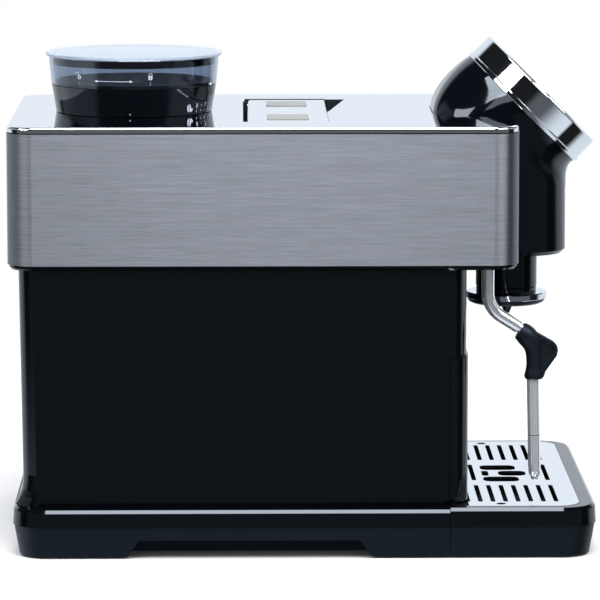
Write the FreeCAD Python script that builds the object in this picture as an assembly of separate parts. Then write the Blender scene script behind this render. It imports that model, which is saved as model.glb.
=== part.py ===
import FreeCAD, Part
import math
import os
from FreeCAD import Placement, Rotation, Vector

# Bean-to-cup espresso machine, in millimetres.
# Front is -Y, up is +Z, and the steam wand is on the -X side.
# The origin is the middle of the footprint, on the worktop.

# ---- driving dimensions ----------------------------------------------------------------

FOOT_HEIGHT = 1.6
SKIRT_TOP = 24.1
DECK_TOP = 36.9
DRAWER_TOP = 148.0
BODY_TOP = 213.3
WRAP_BOTTOM = 216.9
WRAP_TOP = 313.7
PLATE_BOTTOM = 314.5
PLATE_TOP = 318.8

BASE_HALF = 145.0
BASE_FRONT = -214.9
BASE_REAR = 217.7
BASE_CORNER = 26.0
BASE_DRAFT = 0.065
BASE_CHAMFER = 2.2
SEAM_Y = -105.6
SEAM_GAP = 0.2

BODY_HALF = 128.0
BODY_FRONT = -118.3
BODY_REAR_LOW = 209.9
BODY_REAR_HIGH = 212.3
BODY_CORNER = 18.0
WALL = 3.0
PANEL_GAP = 0.3

WRAP_HALF = 134.5
WRAP_FRONT = -156.2
WRAP_REAR = 220.0
WRAP_CORNER = 19.0
WRAP_SHEET = 2.0

HOPPER_Y = 129.2
THROAT_RADIUS = 49.5

LID_HALF = 91.6
LID_FRONT = -16.8
LID_AXIS_Y = 41.2
LID_HOLE_REAR = 46.5
LID_AXIS_Z = 315.8
SCOOP_FRONT = -32.6
SCOOP_HALF = 87.0
RAMP_END = -14.6
RAMP_DROP = 6.2

COLUMN_HALF = 57.0
COLUMN_REAR = -96.7
COLUMN_FRONT = -197.6
COLUMN_CORNER = 34.0
COLUMN_BOTTOM = BODY_TOP

POD_TILT = 45.0
POD_Y = -166.0
POD_Z = 320.4
POD_RADIUS = 56.35
POD_HEIGHT = 20.7
DIAL_BORE = 44.0
BUTTON_RADIUS = 15.0

OUTLET_Y = -154.7
NECK_RADIUS = 23.25

WAND_X = -86.0
WAND_AXIS_Y = -135.6
WAND_RADIUS = 4.75
BALL_Z = 232.0
BALL_RADIUS = 9.0

GRID_TOP = 38.4
GRID_HALF = 136.3
GRID_FRONT = -202.4
GRID_REAR = -119.9
SLOT_PITCH = 9.377
SLOT_WIDTH = 3.5
SLOT_LENGTH = 66.0

TANK_LEFT = -100.0
TANK_RIGHT = 62.0
TANK_FRONT = 112.0
TANK_BOTTOM = 42.0
TANK_TOP = 198.0

DOOR_FRONT = -14.0
DOOR_BOTTOM = 50.0
DOOR_TOP = 204.0
DOOR_AXIS_X = BODY_HALF - 1.7
DOOR_AXIS_Y = 88.0
DOOR_BARREL = 1.7
DOOR_PIN = 0.8
LID_PIN = 1.0

UP = Vector(0, 0, 1)

os.makedirs("parts", exist_ok=True)


# ---- building blocks -------------------------------------------------------------------

def export(name, shape):
    """Write one sub-part, after merging faces that lie on one surface."""
    shape.removeSplitter().exportStep(f"parts/{name}.step")


def export_group(name, solids):
    """Write small pieces of one kind as one node of separate solids."""
    Part.makeCompound(solids).exportStep(f"parts/{name}.step")


def block(x0, x1, y0, y1, z0, z1):
    return Part.makeBox(x1 - x0, y1 - y0, z1 - z0, Vector(x0, y0, z0))


def upright(x, y, z0, z1, radius):
    return Part.makeCylinder(radius, z1 - z0, Vector(x, y, z0), UP)


def rod(start, end, radius):
    run = end - start
    return Part.makeCylinder(radius, run.Length, start, run)


def rounded_wire(x0, x1, y0, y1, z, radius):
    """Closed rectangle with four equal arcs at its corners, at height z."""
    bow = radius * (1 - math.sqrt(0.5))
    stops = [
        ((x0 + radius, y0), (x1 - radius, y0), (x1 - bow, y0 + bow)),
        ((x1, y0 + radius), (x1, y1 - radius), (x1 - bow, y1 - bow)),
        ((x1 - radius, y1), (x0 + radius, y1), (x0 + bow, y1 - bow)),
        ((x0, y1 - radius), (x0, y0 + radius), (x0 + bow, y0 + bow)),
    ]
    edges = []
    for number, (start, end, middle) in enumerate(stops):
        following = stops[(number + 1) % len(stops)][0]
        edges.append(Part.makeLine(Vector(*start, z), Vector(*end, z)))
        edges.append(Part.Arc(Vector(*end, z), Vector(*middle, z), Vector(*following, z)).toShape())
    return Part.Wire(edges)


def rounded_block(x0, x1, y0, y1, z0, z1, radius):
    outline = Part.Face(rounded_wire(x0, x1, y0, y1, z0, radius))
    return outline.extrude(Vector(0, 0, z1 - z0))


def turned(points, x=0.0, y=0.0):
    """Solid of revolution about the upright axis at x, y, from (radius, height) points."""
    outline = [Vector(radius, 0, height) for radius, height in points]
    outline.append(outline[0])
    solid = Part.Face(Part.makePolygon(outline)).revolve(Vector(0, 0, 0), UP, 360)
    solid.translate(Vector(x, y, 0))
    return solid


def side_prism(points, x0, x1):
    """Extrude an outline of (y, z) points along X."""
    outline = [Vector(x0, y, z) for y, z in points]
    outline.append(outline[0])
    return Part.Face(Part.makePolygon(outline)).extrude(Vector(x1 - x0, 0, 0))


def bent_rod(points, radius, bend):
    """Round rod along straight runs, joined by tangent arcs of one bend radius."""
    edges = []
    start = points[0]
    for before, corner, after in zip(points, points[1:], points[2:]):
        arriving = (corner - before).normalize()
        leaving = (after - corner).normalize()
        half_turn = arriving.getAngle(leaving) / 2
        setback = bend * math.tan(half_turn)
        first = corner - arriving * setback
        last = corner + leaving * setback
        inward = (leaving - arriving).normalize()
        middle = corner + inward * bend * (1 / math.cos(half_turn) - 1)
        edges.append(Part.makeLine(start, first))
        edges.append(Part.Arc(first, middle, last).toShape())
        start = last
    edges.append(Part.makeLine(start, points[-1]))
    path = Part.Wire(edges)
    circle = Part.Wire(Part.makeCircle(radius, points[0], points[1] - points[0]))
    return path.makePipeShell([circle], True, True)


def round_over(shape, radius, wanted):
    """Fillet the edges that the test named by wanted picks."""
    return shape.makeFillet(radius, [edge for edge in shape.Edges if wanted(edge)])


def at_height(z):
    """Test for edges that lie wholly at one height."""
    def test(edge):
        span = edge.BoundBox
        return abs(span.ZMin - z) < 0.01 and abs(span.ZMax - z) < 0.01
    return test


# ---- base: satin skirt, gloss band, feet and screws ---------------------------------------

def base_taper(z0, z1, inset_low, inset_high):
    wires = []
    for z, inset in ((z0, inset_low), (z1, inset_high)):
        wires.append(rounded_wire(-BASE_HALF + inset, BASE_HALF - inset, BASE_FRONT + inset,
                                  BASE_REAR - inset, z, BASE_CORNER - inset))
    return Part.makeLoft(wires, True, True)


def band_block(z0, z1, inset):
    """Gloss band of slight draft, widest at the top of the skirt."""
    return base_taper(z0, z1, inset + (z0 - SKIRT_TOP) * BASE_DRAFT, inset + (z1 - SKIRT_TOP) * BASE_DRAFT)


SKIRT_TAPER = 4.8
SKIRT_STEP = 0.8
SKIRT_FLOOR = 7.0

behind_seam = block(-200, 200, SEAM_Y + SEAM_GAP, 300, 0, 60)
ahead_of_seam = block(-200, 200, -300, SEAM_Y - SEAM_GAP, 0, 60)
screw_spots = [(side * 118, y) for side in (-1, 1) for y in (-92, 148, 196)]
foot_spots = [(side * 112, y) for side in (-1, 1) for y in (-78, 172)]

skirt_outside = base_taper(FOOT_HEIGHT, SKIRT_TOP, SKIRT_TAPER, SKIRT_STEP)
skirt_inside = base_taper(SKIRT_FLOOR, SKIRT_TOP + 1, SKIRT_TAPER + WALL - 0.6,
                          SKIRT_STEP + WALL)
skirt_shell = skirt_outside.cut(skirt_inside)


def seam_wall(y0, y1):
    return skirt_outside.common(block(-200, 200, y0, y1, FOOT_HEIGHT, SKIRT_TOP))


HAND_LOW = [(-49, FOOT_HEIGHT - 1), (-39, 14.1), (124, 14.1), (133, FOOT_HEIGHT - 1)]
HAND_LINER = [(-53, FOOT_HEIGHT), (-42.2, 17.1), (127.4, 17.1), (137, FOOT_HEIGHT)]
HAND_DEPTH = 28.0


def make_skirt():
    skirt = skirt_shell.common(behind_seam)
    skirt = skirt.fuse(seam_wall(SEAM_Y + SEAM_GAP, SEAM_Y + SEAM_GAP + WALL))
    for side in (-1, 1):
        reach = side * (BASE_HALF - HAND_DEPTH)
        edge = side * (BASE_HALF + 5)
        liner = side_prism(HAND_LINER, reach - side * WALL, edge).common(skirt_outside)
        skirt = skirt.fuse(liner).cut(side_prism(HAND_LOW, reach, edge))
    for x, y in screw_spots:
        skirt = skirt.cut(upright(x, y, FOOT_HEIGHT - 1, 5.4, 3.4))
        skirt = skirt.cut(upright(x, y, 5.4, SKIRT_FLOOR + 1, 1.5))
    for x, y in foot_spots:
        skirt = skirt.cut(upright(x, y, FOOT_HEIGHT - 1, SKIRT_FLOOR + 1, 3.1))
    export("base_skirt", skirt)


def make_band():
    band = band_block(SKIRT_TOP, DECK_TOP, 0)
    band = band.makeChamfer(BASE_CHAMFER, [edge for edge in band.Edges if at_height(DECK_TOP)(edge)])
    band = band.cut(band_block(SKIRT_TOP - 1, DECK_TOP - WALL, WALL))
    band = band.common(behind_seam)
    end_wall = block(-BASE_HALF + 2, BASE_HALF - 2, SEAM_Y + SEAM_GAP, SEAM_Y + SEAM_GAP + WALL,
                     SKIRT_TOP, DECK_TOP - 1)
    band = band.fuse(end_wall)
    for x, y in screw_spots:
        band = band.fuse(upright(x, y, SKIRT_FLOOR, DECK_TOP - 1, 4.5))
        band = band.cut(upright(x, y, SKIRT_FLOOR - 1, 18.0, 1.5))
    export("base_band", band)


def make_feet_and_screws():
    feet = []
    for x, y in foot_spots:
        pad = turned([(0, 0), (9, 0), (9.8, FOOT_HEIGHT), (3, FOOT_HEIGHT), (3, 10), (0, 10)], x, y)
        feet.append(pad)
    export_group("rubber_feet", feet)
    screws = []
    for x, y in screw_spots:
        screw = upright(x, y, 5.3, 17.5, 1.5).fuse(upright(x, y, 3.2, 5.4, 3.1))
        drive = rounded_block(x - 0.5, x + 0.5, y - 1.9, y + 1.9, 3.0, 4.4, 0.4)
        screws.append(screw.cut(drive))
    export_group("base_screws", screws)


# ---- lower body: side panels, rear panel, front panel, service door --------------------------

FLARE_TOP = 60.0
FLARE_REACH = 6.6


def body_block(inset, z0, z1):
    """Body of slight draft at the rear with a flared foot, as a solid between two heights."""
    wires = []
    for z in (z0, 40.0, 43.5, 48.0, 53.0, FLARE_TOP, z1):
        rise = (z - DECK_TOP) / (BODY_TOP - DECK_TOP)
        low = max(0.0, (FLARE_TOP - z) / (FLARE_TOP - DECK_TOP))
        rear = BODY_REAR_LOW + (BODY_REAR_HIGH - BODY_REAR_LOW) * rise + FLARE_REACH * low ** 2.4
        wires.append(rounded_wire(-BODY_HALF + inset, BODY_HALF - inset, BODY_FRONT + inset,
                                  rear - inset, z, BODY_CORNER - inset))
    return Part.makeLoft(wires, True, True)


PANEL_SPLIT_X = BODY_HALF - BODY_CORNER - 1.0
DRAWER_MOUTH = block(-200, 200, -200, SEAM_Y + SEAM_GAP, 0, DRAWER_TOP + PANEL_GAP)

body_solid = body_block(0, DECK_TOP, BODY_TOP)
body_shell = body_solid.cut(body_block(WALL, DECK_TOP - 1, BODY_TOP + 1))
rear_zone = block(-PANEL_SPLIT_X, PANEL_SPLIT_X, 150, 250, DECK_TOP, BODY_TOP)
front_zone = block(-PANEL_SPLIT_X, PANEL_SPLIT_X, -150, -100, DECK_TOP, BODY_TOP)
door_hole = block(BODY_HALF - 8, BODY_HALF + 5, DOOR_FRONT - 0.5, DOOR_AXIS_Y + DOOR_BARREL + 0.5,
                  DOOR_BOTTOM - 0.5, DOOR_TOP + 0.5)
door_pins = [upright(DOOR_AXIS_X, DOOR_AXIS_Y, z0, z0 + 20, DOOR_PIN)
             for z0 in (DOOR_BOTTOM - 6, DOOR_TOP - 14)]


def make_side_panels():
    sides = body_shell.cut(rear_zone).cut(front_zone).cut(DRAWER_MOUTH)
    export("left_side_panel", sides.common(block(-200, 0, -200, 300, 0, 300)))
    right = sides.common(block(0, 200, -200, 300, 0, 300)).cut([door_hole] + door_pins)
    export("right_side_panel", right)


def make_front_panel():
    panel = body_shell.common(front_zone.cut(DRAWER_MOUTH))
    panel = panel.common(block(-PANEL_SPLIT_X + PANEL_GAP, PANEL_SPLIT_X - PANEL_GAP, -150, 0, 0, 300))
    export("front_upper_panel", panel)


INLET_X = 86.0
INLET_Z = 72.0
SWITCH_Z = 108.0
INLET_SIZE = (27.0, 20.0)
SWITCH_SIZE = (19.0, 13.0)


def centred_cut(size, z, inset=0.0):
    half_x = size[0] / 2 - inset
    half_z = size[1] / 2 - inset
    return block(INLET_X - half_x, INLET_X + half_x, 190, 230, z - half_z, z + half_z)


def make_rear_panel():
    panel = body_shell.common(rear_zone)
    panel = panel.common(block(-PANEL_SPLIT_X + PANEL_GAP, PANEL_SPLIT_X - PANEL_GAP, 0, 250, 0, 300))
    panel = panel.cut(block(TANK_LEFT - 0.5, TANK_RIGHT + 0.5, 190, 230,
                            TANK_BOTTOM - 0.5, TANK_TOP + 3.5))
    panel = panel.cut(centred_cut(INLET_SIZE, INLET_Z)).cut(centred_cut(SWITCH_SIZE, SWITCH_Z))
    for z in range(150, 190, 8):
        panel = panel.cut(rounded_block(70, 102, 190, 230, z, z + 3, 1.0))
    export("rear_panel", panel)


def make_power_entry():
    bezel = block(INLET_X - 15.5, INLET_X + 15.5, 211.6, 213.2, INLET_Z - 12, INLET_Z + 12)
    shell = centred_cut(INLET_SIZE, INLET_Z).common(block(0, 200, 192, 211.6, 0, 300))
    socket = bezel.fuse(shell)
    socket = socket.cut(centred_cut(INLET_SIZE, INLET_Z, 2.0).common(block(0, 200, 195, 230, 0, 300)))
    for x in (-7, 0, 7):
        rise = 3.0 if x == 0 else -1.0
        blade = block(INLET_X + x - 1, INLET_X + x + 1, 193, 208, INLET_Z + rise - 2, INLET_Z + rise + 2)
        socket = socket.fuse(blade)
    bezel = block(INLET_X - 11.5, INLET_X + 11.5, 211.9, 213.2, SWITCH_Z - 8.5, SWITCH_Z + 8.5)
    shell = centred_cut(SWITCH_SIZE, SWITCH_Z).common(block(0, 200, 196, 211.9, 0, 300))
    frame = bezel.fuse(shell)
    frame = frame.cut(centred_cut(SWITCH_SIZE, SWITCH_Z, 1.2).common(block(0, 200, 200, 230, 0, 300)))
    export_group("power_entry", [socket, frame])

    half = 6.2
    keys = [(-half, 0), (-half, 7.0), (0, 5.4), (half, 4.2), (half, 0)]
    outline = [Vector(INLET_X + x, 207.2 + y, SWITCH_Z - 4.8) for x, y in keys]
    outline.append(outline[0])
    rocker = Part.Face(Part.makePolygon(outline)).extrude(Vector(0, 0, 9.6))
    rocker = rocker.fuse(upright(INLET_X, 207.2, SWITCH_Z - 5.2, SWITCH_Z + 5.2, 1.2))
    export("power_rocker", rocker)


def make_service_door():
    panel = body_shell.common(block(100, 200, DOOR_FRONT, DOOR_AXIS_Y, DOOR_BOTTOM, DOOR_TOP))
    barrel = upright(DOOR_AXIS_X, DOOR_AXIS_Y, DOOR_BOTTOM, DOOR_TOP, DOOR_BARREL)
    bore = upright(DOOR_AXIS_X, DOOR_AXIS_Y, DOOR_BOTTOM - 1, DOOR_TOP + 1, DOOR_PIN + 0.06)
    pull = block(BODY_HALF - 1.2, BODY_HALF + 1, DOOR_FRONT - 1, DOOR_FRONT + 14, 117, 137)
    export("service_door", panel.fuse(barrel).cut(bore).cut(pull))


# ---- upper body: trim, chassis plate, wrap, gasket, top plate --------------------------------

def column_prism(margin, z0, z1):
    return rounded_block(-COLUMN_HALF - margin, COLUMN_HALF + margin, COLUMN_FRONT - 60,
                         COLUMN_REAR + margin, z0, z1, COLUMN_CORNER + margin)


def wrap_block(inset, z0, z1):
    return rounded_block(-WRAP_HALF + inset, WRAP_HALF - inset, WRAP_FRONT + inset,
                         WRAP_REAR - inset, z0, z1, WRAP_CORNER - inset)


def make_upper_trim():
    trim = wrap_block(1.4, BODY_TOP, WRAP_BOTTOM)
    trim = trim.makeChamfer(1.6, [edge for edge in trim.Edges if at_height(BODY_TOP)(edge)])
    opening = rounded_block(-112, 112, -100, 200, BODY_TOP - 1, WRAP_BOTTOM + 1, 10)
    trim = trim.cut(opening).cut(column_prism(0.4, BODY_TOP - 1, WRAP_BOTTOM + 1))
    trim = trim.cut(upright(WAND_X, WAND_AXIS_Y, BODY_TOP - 1, WRAP_BOTTOM + 1, 7.0))
    export("upper_trim", trim)


CHASSIS_TOP = WRAP_BOTTOM + 2.0
GRINDER_POSTS = [(math.cos(math.radians(angle)) * 44, HOPPER_Y + math.sin(math.radians(angle)) * 44)
                 for angle in (45, 135, 225, 315)]


def make_upper_chassis():
    plate = wrap_block(WRAP_SHEET + 0.4, WRAP_BOTTOM, CHASSIS_TOP)
    plate = plate.cut(column_prism(0.4, WRAP_BOTTOM - 1, CHASSIS_TOP + 1))
    plate = plate.cut(upright(WAND_X, WAND_AXIS_Y, WRAP_BOTTOM - 1, CHASSIS_TOP + 1, 7.0))
    plate = plate.cut(rounded_block(22, 78, -10, 58, WRAP_BOTTOM - 1, CHASSIS_TOP + 1, 8))
    plate = plate.cut(rounded_block(-100, -70, -95, -40, WRAP_BOTTOM - 1, CHASSIS_TOP + 1, 8))
    export("upper_chassis", plate)


def make_wrap():
    wrap = wrap_block(0, WRAP_BOTTOM, WRAP_TOP).cut(wrap_block(WRAP_SHEET, WRAP_BOTTOM - 1, WRAP_TOP + 1))
    wrap = wrap.cut(column_prism(0.4, WRAP_BOTTOM - 1, WRAP_TOP + 1))
    export("upper_wrap", wrap)


def make_gasket():
    ring = wrap_block(0.9, WRAP_TOP, PLATE_BOTTOM).cut(wrap_block(6.0, WRAP_TOP - 1, PLATE_BOTTOM + 1))
    ring = ring.cut(column_prism(0.4, WRAP_TOP - 1, PLATE_BOTTOM + 1))
    export("plate_gasket", ring)


def make_top_plate():
    plate = wrap_block(0.2, PLATE_BOTTOM, PLATE_TOP)
    plate = round_over(plate, 2.1, at_height(PLATE_TOP))
    plate = plate.cut(wrap_block(5.0, PLATE_BOTTOM - 1, PLATE_TOP - 1.8))
    plate = plate.cut(column_prism(0.4, PLATE_BOTTOM - 1, PLATE_TOP + 1))
    plate = plate.cut(upright(0, HOPPER_Y, PLATE_BOTTOM - 1, PLATE_TOP + 1, THROAT_RADIUS))
    lid_hole = rounded_block(-LID_HALF - 0.4, LID_HALF + 0.4, LID_FRONT - 0.4, LID_HOLE_REAR,
                             PLATE_BOTTOM - 1, PLATE_TOP + 1, 1.2)
    scoop_hole = block(-SCOOP_HALF, SCOOP_HALF, SCOOP_FRONT, LID_FRONT + 10, PLATE_BOTTOM - 1, PLATE_TOP + 1)
    plate = plate.cut(lid_hole.fuse(scoop_hole))
    sheet = 1.4
    tray = side_prism([(SCOOP_FRONT, PLATE_TOP), (SCOOP_FRONT, PLATE_TOP - sheet),
                       (RAMP_END, PLATE_TOP - RAMP_DROP - sheet), (RAMP_END, PLATE_TOP - 3.4),
                       (LID_FRONT - 0.4, PLATE_TOP - 3.4), (LID_FRONT - 0.4, PLATE_TOP)],
                      -SCOOP_HALF - sheet, SCOOP_HALF + sheet)
    hollow = side_prism([(SCOOP_FRONT, PLATE_TOP), (RAMP_END + 1, PLATE_TOP - RAMP_DROP - 0.34),
                         (RAMP_END + 1, PLATE_TOP + 1), (SCOOP_FRONT, PLATE_TOP + 1)],
                        -SCOOP_HALF, SCOOP_HALF)
    export("top_plate", plate.fuse(tray.cut(hollow)))


# ---- service lid in the top plate -------------------------------------------------------------

WELL_FLOOR = 300.0
CHUTE_X = 50.0
CHUTE_Y = 14.0
FUNNEL_LOW = 176.0


def make_lid_well():
    reach = LID_HALF + 0.4
    top = PLATE_TOP - 1.8
    well = block(-reach - WALL, reach + WALL, LID_FRONT - 0.4 - WALL, LID_HOLE_REAR + WALL, WELL_FLOOR, top)
    well = well.cut(block(-reach, reach, LID_FRONT - 0.4, LID_HOLE_REAR, WELL_FLOOR + 2, top + 1))
    well = well.cut(block(-reach - 5, reach + 5, -60, RAMP_END + 0.3, top - RAMP_DROP - 0.4, top + 1))
    well = well.cut(upright(CHUTE_X, CHUTE_Y, WELL_FLOOR - 1, WELL_FLOOR + 3, 18.0))
    pin = rod(Vector(-reach - 2, LID_AXIS_Y, LID_AXIS_Z), Vector(reach + 2, LID_AXIS_Y, LID_AXIS_Z), LID_PIN)
    export("lid_well", well.cut(pin))
    export_group("hinge_pins", [pin] + door_pins)


def make_service_lid():
    lid = rounded_block(-LID_HALF, LID_HALF, LID_FRONT, LID_AXIS_Y, PLATE_TOP - 2.4, PLATE_TOP - 0.4, 1.5)
    square_rear = block(-LID_HALF, LID_HALF, LID_AXIS_Y - 6, LID_AXIS_Y, PLATE_TOP - 2.4, PLATE_TOP - 0.4)
    left = Vector(-LID_HALF, LID_AXIS_Y, LID_AXIS_Z)
    right = Vector(LID_HALF, LID_AXIS_Y, LID_AXIS_Z)
    lid = lid.fuse([square_rear, rod(left, right, 2.4)])
    bore = rod(left, right, LID_PIN + 0.06)
    export("service_lid", lid.cut(bore))
    pads = []
    for side in (-1, 1):
        low, high = sorted((side * 35.0, side * 71.0))
        pads.append(rounded_block(low, high, -2.5, 28.6, PLATE_TOP - 0.4, PLATE_TOP + 0.2, 2.0))
    export_group("lid_pads", pads)


def make_powder_funnel():
    outside = turned([(0, FUNNEL_LOW), (14, FUNNEL_LOW), (14, 268), (21, 290), (21, WELL_FLOOR), (0, WELL_FLOOR)],
                     CHUTE_X, CHUTE_Y)
    inside = turned([(0, FUNNEL_LOW - 1), (11.5, FUNNEL_LOW - 1), (11.5, 269), (18, 291), (18, WELL_FLOOR + 1),
                     (0, WELL_FLOOR + 1)], CHUTE_X, CHUTE_Y)
    side_port = rod(Vector(30, 38, 247), Vector(CHUTE_X, CHUTE_Y, 240), 8.0)
    return outside.cut(inside).cut(side_port)


# ---- bean hopper and grinder -------------------------------------------------------------------

COLLAR_LOW = 319.2
COLLAR_HIGH = 339.6
BOWL_LOW = 340.0
BOWL_HIGH = 360.9
CLEAR_WALL = 2.5


def make_hopper():
    collar = turned([(50.2, COLLAR_LOW), (59.15, COLLAR_LOW), (62.45, COLLAR_HIGH),
                     (62.45 - CLEAR_WALL, COLLAR_HIGH), (59.5 - CLEAR_WALL, COLLAR_LOW + 2.4),
                     (50.2, COLLAR_LOW + 2.4)], 0, HOPPER_Y)
    export("grind_collar", collar)

    bowl = turned([(62.5 - CLEAR_WALL, BOWL_LOW), (62.5, BOWL_LOW), (64.5, BOWL_HIGH),
                   (64.5 - CLEAR_WALL, BOWL_HIGH)], 0, HOPPER_Y)
    export("hopper_bowl", bowl)

    funnel = turned([(57.0, BOWL_LOW), (59.9, BOWL_LOW), (59.9, BOWL_LOW + 2.6), (57.5, BOWL_LOW + 2.6),
                     (30.0, 329.0), (30.0, 305.0), (33.0, 305.0), (33.0, 327.2), (44.0, 330.5)],
                    0, HOPPER_Y)
    export("hopper_funnel", funnel)


def make_hopper_lid():
    lid = turned([(0, 358.6), (57.0, 358.6), (57.0, 355.2), (60.8, 355.2), (60.8, 361.3),
                  (66.2, 361.3), (66.75, 362.0), (66.75, 363.2), (65.8, 363.9), (40.0, 364.4),
                  (0, 364.6)], 0, HOPPER_Y)
    export("hopper_lid", lid)


def make_grinder():
    housing = turned([(34, 262), (56, 262), (56, 301), (THROAT_RADIUS, 305), (THROAT_RADIUS, 326),
                      (45.0, 326), (45.0, 280), (34, 280)], 0, HOPPER_Y)
    posts = []
    for x, y in GRINDER_POSTS:
        posts.append(upright(x, y, CHASSIS_TOP, 262, 5.0))
    mouth = rod(Vector(0, HOPPER_Y - 40, 285), Vector(10, HOPPER_Y - 62, 279), 9.0)
    export("grinder_housing", housing.fuse(posts).cut(mouth))

    burr_seat = turned([(33.6, 286.2), (44.6, 286.2), (44.6, 297.8), (24.0, 297.8), (24.0, 295.0)],
                       0, HOPPER_Y)
    export("upper_burr", burr_seat)

    lower = turned([(4.05, 278.0), (31.0, 278.0), (31.0, 285.6), (8.0, 293.0), (4.05, 293.0)], 0, HOPPER_Y)
    for turn in range(12):
        tooth = block(-0.8, 0.8, 10, 34, 287.4, 300)
        tooth.rotate(Vector(0, 0, 0), UP, 30 * turn)
        tooth.rotate(Vector(0, 0, 0), UP, 7)
        tooth.translate(Vector(0, HOPPER_Y, 0))
        lower = lower.cut(tooth)
    export("lower_burr", lower.fuse(upright(0, HOPPER_Y, 255.4, 296.0, 4.05)))

    motor = turned([(0, CHASSIS_TOP + 0.1), (27, CHASSIS_TOP + 0.1), (27, 250), (33, 250),
                    (33, 277), (4.12, 277), (4.12, 255), (0, 255)], 0, HOPPER_Y)
    export("grinder_motor", motor)

    path = [Vector(2, HOPPER_Y - 46, 283.6), Vector(10, HOPPER_Y - 66, 277), Vector(29, 44, 248),
            Vector(36, 34, 244.6)]
    chute = bent_rod(path, 7.6, 10.0).cut(bent_rod(path, 6.0, 10.0))
    chute = chute.cut(turned([(0, 200), (14.3, 200), (14.3, 300), (0, 300)], CHUTE_X, CHUTE_Y))
    chute = chute.cut(upright(0, HOPPER_Y, 200, 330, 56.0))
    export_group("grounds_chute", [chute, make_powder_funnel()])


# ---- front column and tilted pod -----------------------------------------------------------------

def tilted_wire(rear_y, rear_z, front_y, front_z, half_width, corner):
    """Rounded rectangle on a plane that falls from the rear point to the front point."""
    length = math.hypot(rear_y - front_y, rear_z - front_z)
    tilt = math.degrees(math.atan2(rear_z - front_z, rear_y - front_y))
    wire = rounded_wire(-half_width, half_width, -length / 2, length / 2, 0, corner)
    middle = Vector(0, (rear_y + front_y) / 2, (rear_z + front_z) / 2)
    wire.Placement = Placement(middle, Rotation(Vector(1, 0, 0), tilt))
    return wire


# rear point, front point, half width and corner of the sections between the upright and the collar
DOME_SECTIONS = [
    (-100.8, 332.5, -198.2, 268.6, 57.0, 41.0),
    (-107.9, 343.3, -199.3, 274.4, 56.8, 47.0),
    (-116.0, 352.0, -201.6, 278.4, 56.5, 51.5),
]


def column_loft(inset, bottom_sections):
    """Upright box that turns into a tilted round collar at its top."""
    top_radius = POD_RADIUS - 0.3 - inset
    run = top_radius * math.cos(math.radians(POD_TILT))
    rise = top_radius * math.sin(math.radians(POD_TILT))
    shoulder = (COLUMN_REAR - inset, PLATE_TOP, COLUMN_FRONT + inset, 262.0, COLUMN_HALF - inset,
                COLUMN_CORNER + 2 - inset)
    dome = [shoulder]
    for rear_y, rear_z, front_y, front_z, half_width, corner in DOME_SECTIONS:
        dome.append((rear_y - inset, rear_z - inset * 0.3, front_y + inset, front_z + inset * 0.3,
                     half_width - inset, corner - inset))
    dome.append((POD_Y + run, POD_Z + rise, POD_Y - run, POD_Z - rise, top_radius, top_radius - 1.0))
    upright_part = Part.makeLoft([tilted_wire(*section) for section in bottom_sections + [shoulder]], True, True)
    return upright_part.fuse(Part.makeLoft([tilted_wire(*section) for section in dome], True, False))


def column_section(z, inset):
    """Level section of the column's upright part."""
    return (COLUMN_REAR - inset, z, COLUMN_FRONT + inset, z, COLUMN_HALF - inset, COLUMN_CORNER - inset)


def make_column():
    bevel = 3.0
    outside = [column_section(COLUMN_BOTTOM, bevel), column_section(COLUMN_BOTTOM + bevel, 0)]
    inside = [column_section(COLUMN_BOTTOM + bevel, WALL)]
    column = column_loft(0, outside).cut(column_loft(WALL, inside))
    above_top = block(-80, 80, -80, 80, -0.3, 40)
    above_top.Placement = Placement(Vector(0, POD_Y, POD_Z), Rotation(Vector(1, 0, 0), POD_TILT))
    guide = upright(0, OUTLET_Y, COLUMN_BOTTOM + bevel - 1, 240, NECK_RADIUS + 3.5)
    column = column.fuse(guide).cut(above_top)
    column = column.cut(upright(0, OUTLET_Y, COLUMN_BOTTOM - 1, 241, NECK_RADIUS + 0.4))
    export("column_shell", column)


def on_pod(shape):
    """Move a shape drawn about its own upright axis onto the tilted pod."""
    shape.Placement = Placement(Vector(0, POD_Y, POD_Z), Rotation(Vector(1, 0, 0), POD_TILT))
    return shape


FLANGE_THICK = 3.0
GLASS_LOW = 17.0
GLASS_HIGH = 19.2
BOARD_LOW = 10.0


def make_pod():
    hub = turned([(30, 0), (POD_RADIUS + 0.6, 0), (POD_RADIUS + 0.9, 0.4),
                  (POD_RADIUS + 0.9, FLANGE_THICK - 0.4), (POD_RADIUS + 0.5, FLANGE_THICK),
                  (43.92, FLANGE_THICK), (43.92, GLASS_LOW), (41.5, GLASS_LOW), (41.5, 5.0), (30, 5.0)])
    for angle in (30, 150, 270):
        post = upright(34, 0, 5.0, BOARD_LOW, 2.5)
        post.rotate(Vector(0, 0, 0), UP, angle)
        hub = hub.fuse(post)
    export("pod_flange", on_pod(hub))

    ring = turned([(DIAL_BORE, FLANGE_THICK + 0.4), (POD_RADIUS, FLANGE_THICK + 0.4),
                   (POD_RADIUS, POD_HEIGHT), (DIAL_BORE, POD_HEIGHT)])
    ring = round_over(ring, 1.4, at_height(POD_HEIGHT))
    export("dial_ring", on_pod(ring))

    glass = turned([(BUTTON_RADIUS + 0.4, GLASS_LOW), (43.5, GLASS_LOW), (43.5, GLASS_HIGH - 0.5),
                    (43.0, GLASS_HIGH), (BUTTON_RADIUS + 0.4, GLASS_HIGH)])
    export("display_glass", on_pod(glass))

    button = turned([(0, 15.2), (BUTTON_RADIUS, 15.2), (BUTTON_RADIUS, GLASS_HIGH + 0.2),
                     (BUTTON_RADIUS - 1.0, GLASS_HIGH + 0.9), (0, GLASS_HIGH + 0.5)])
    export("centre_button", on_pod(button))


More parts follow.
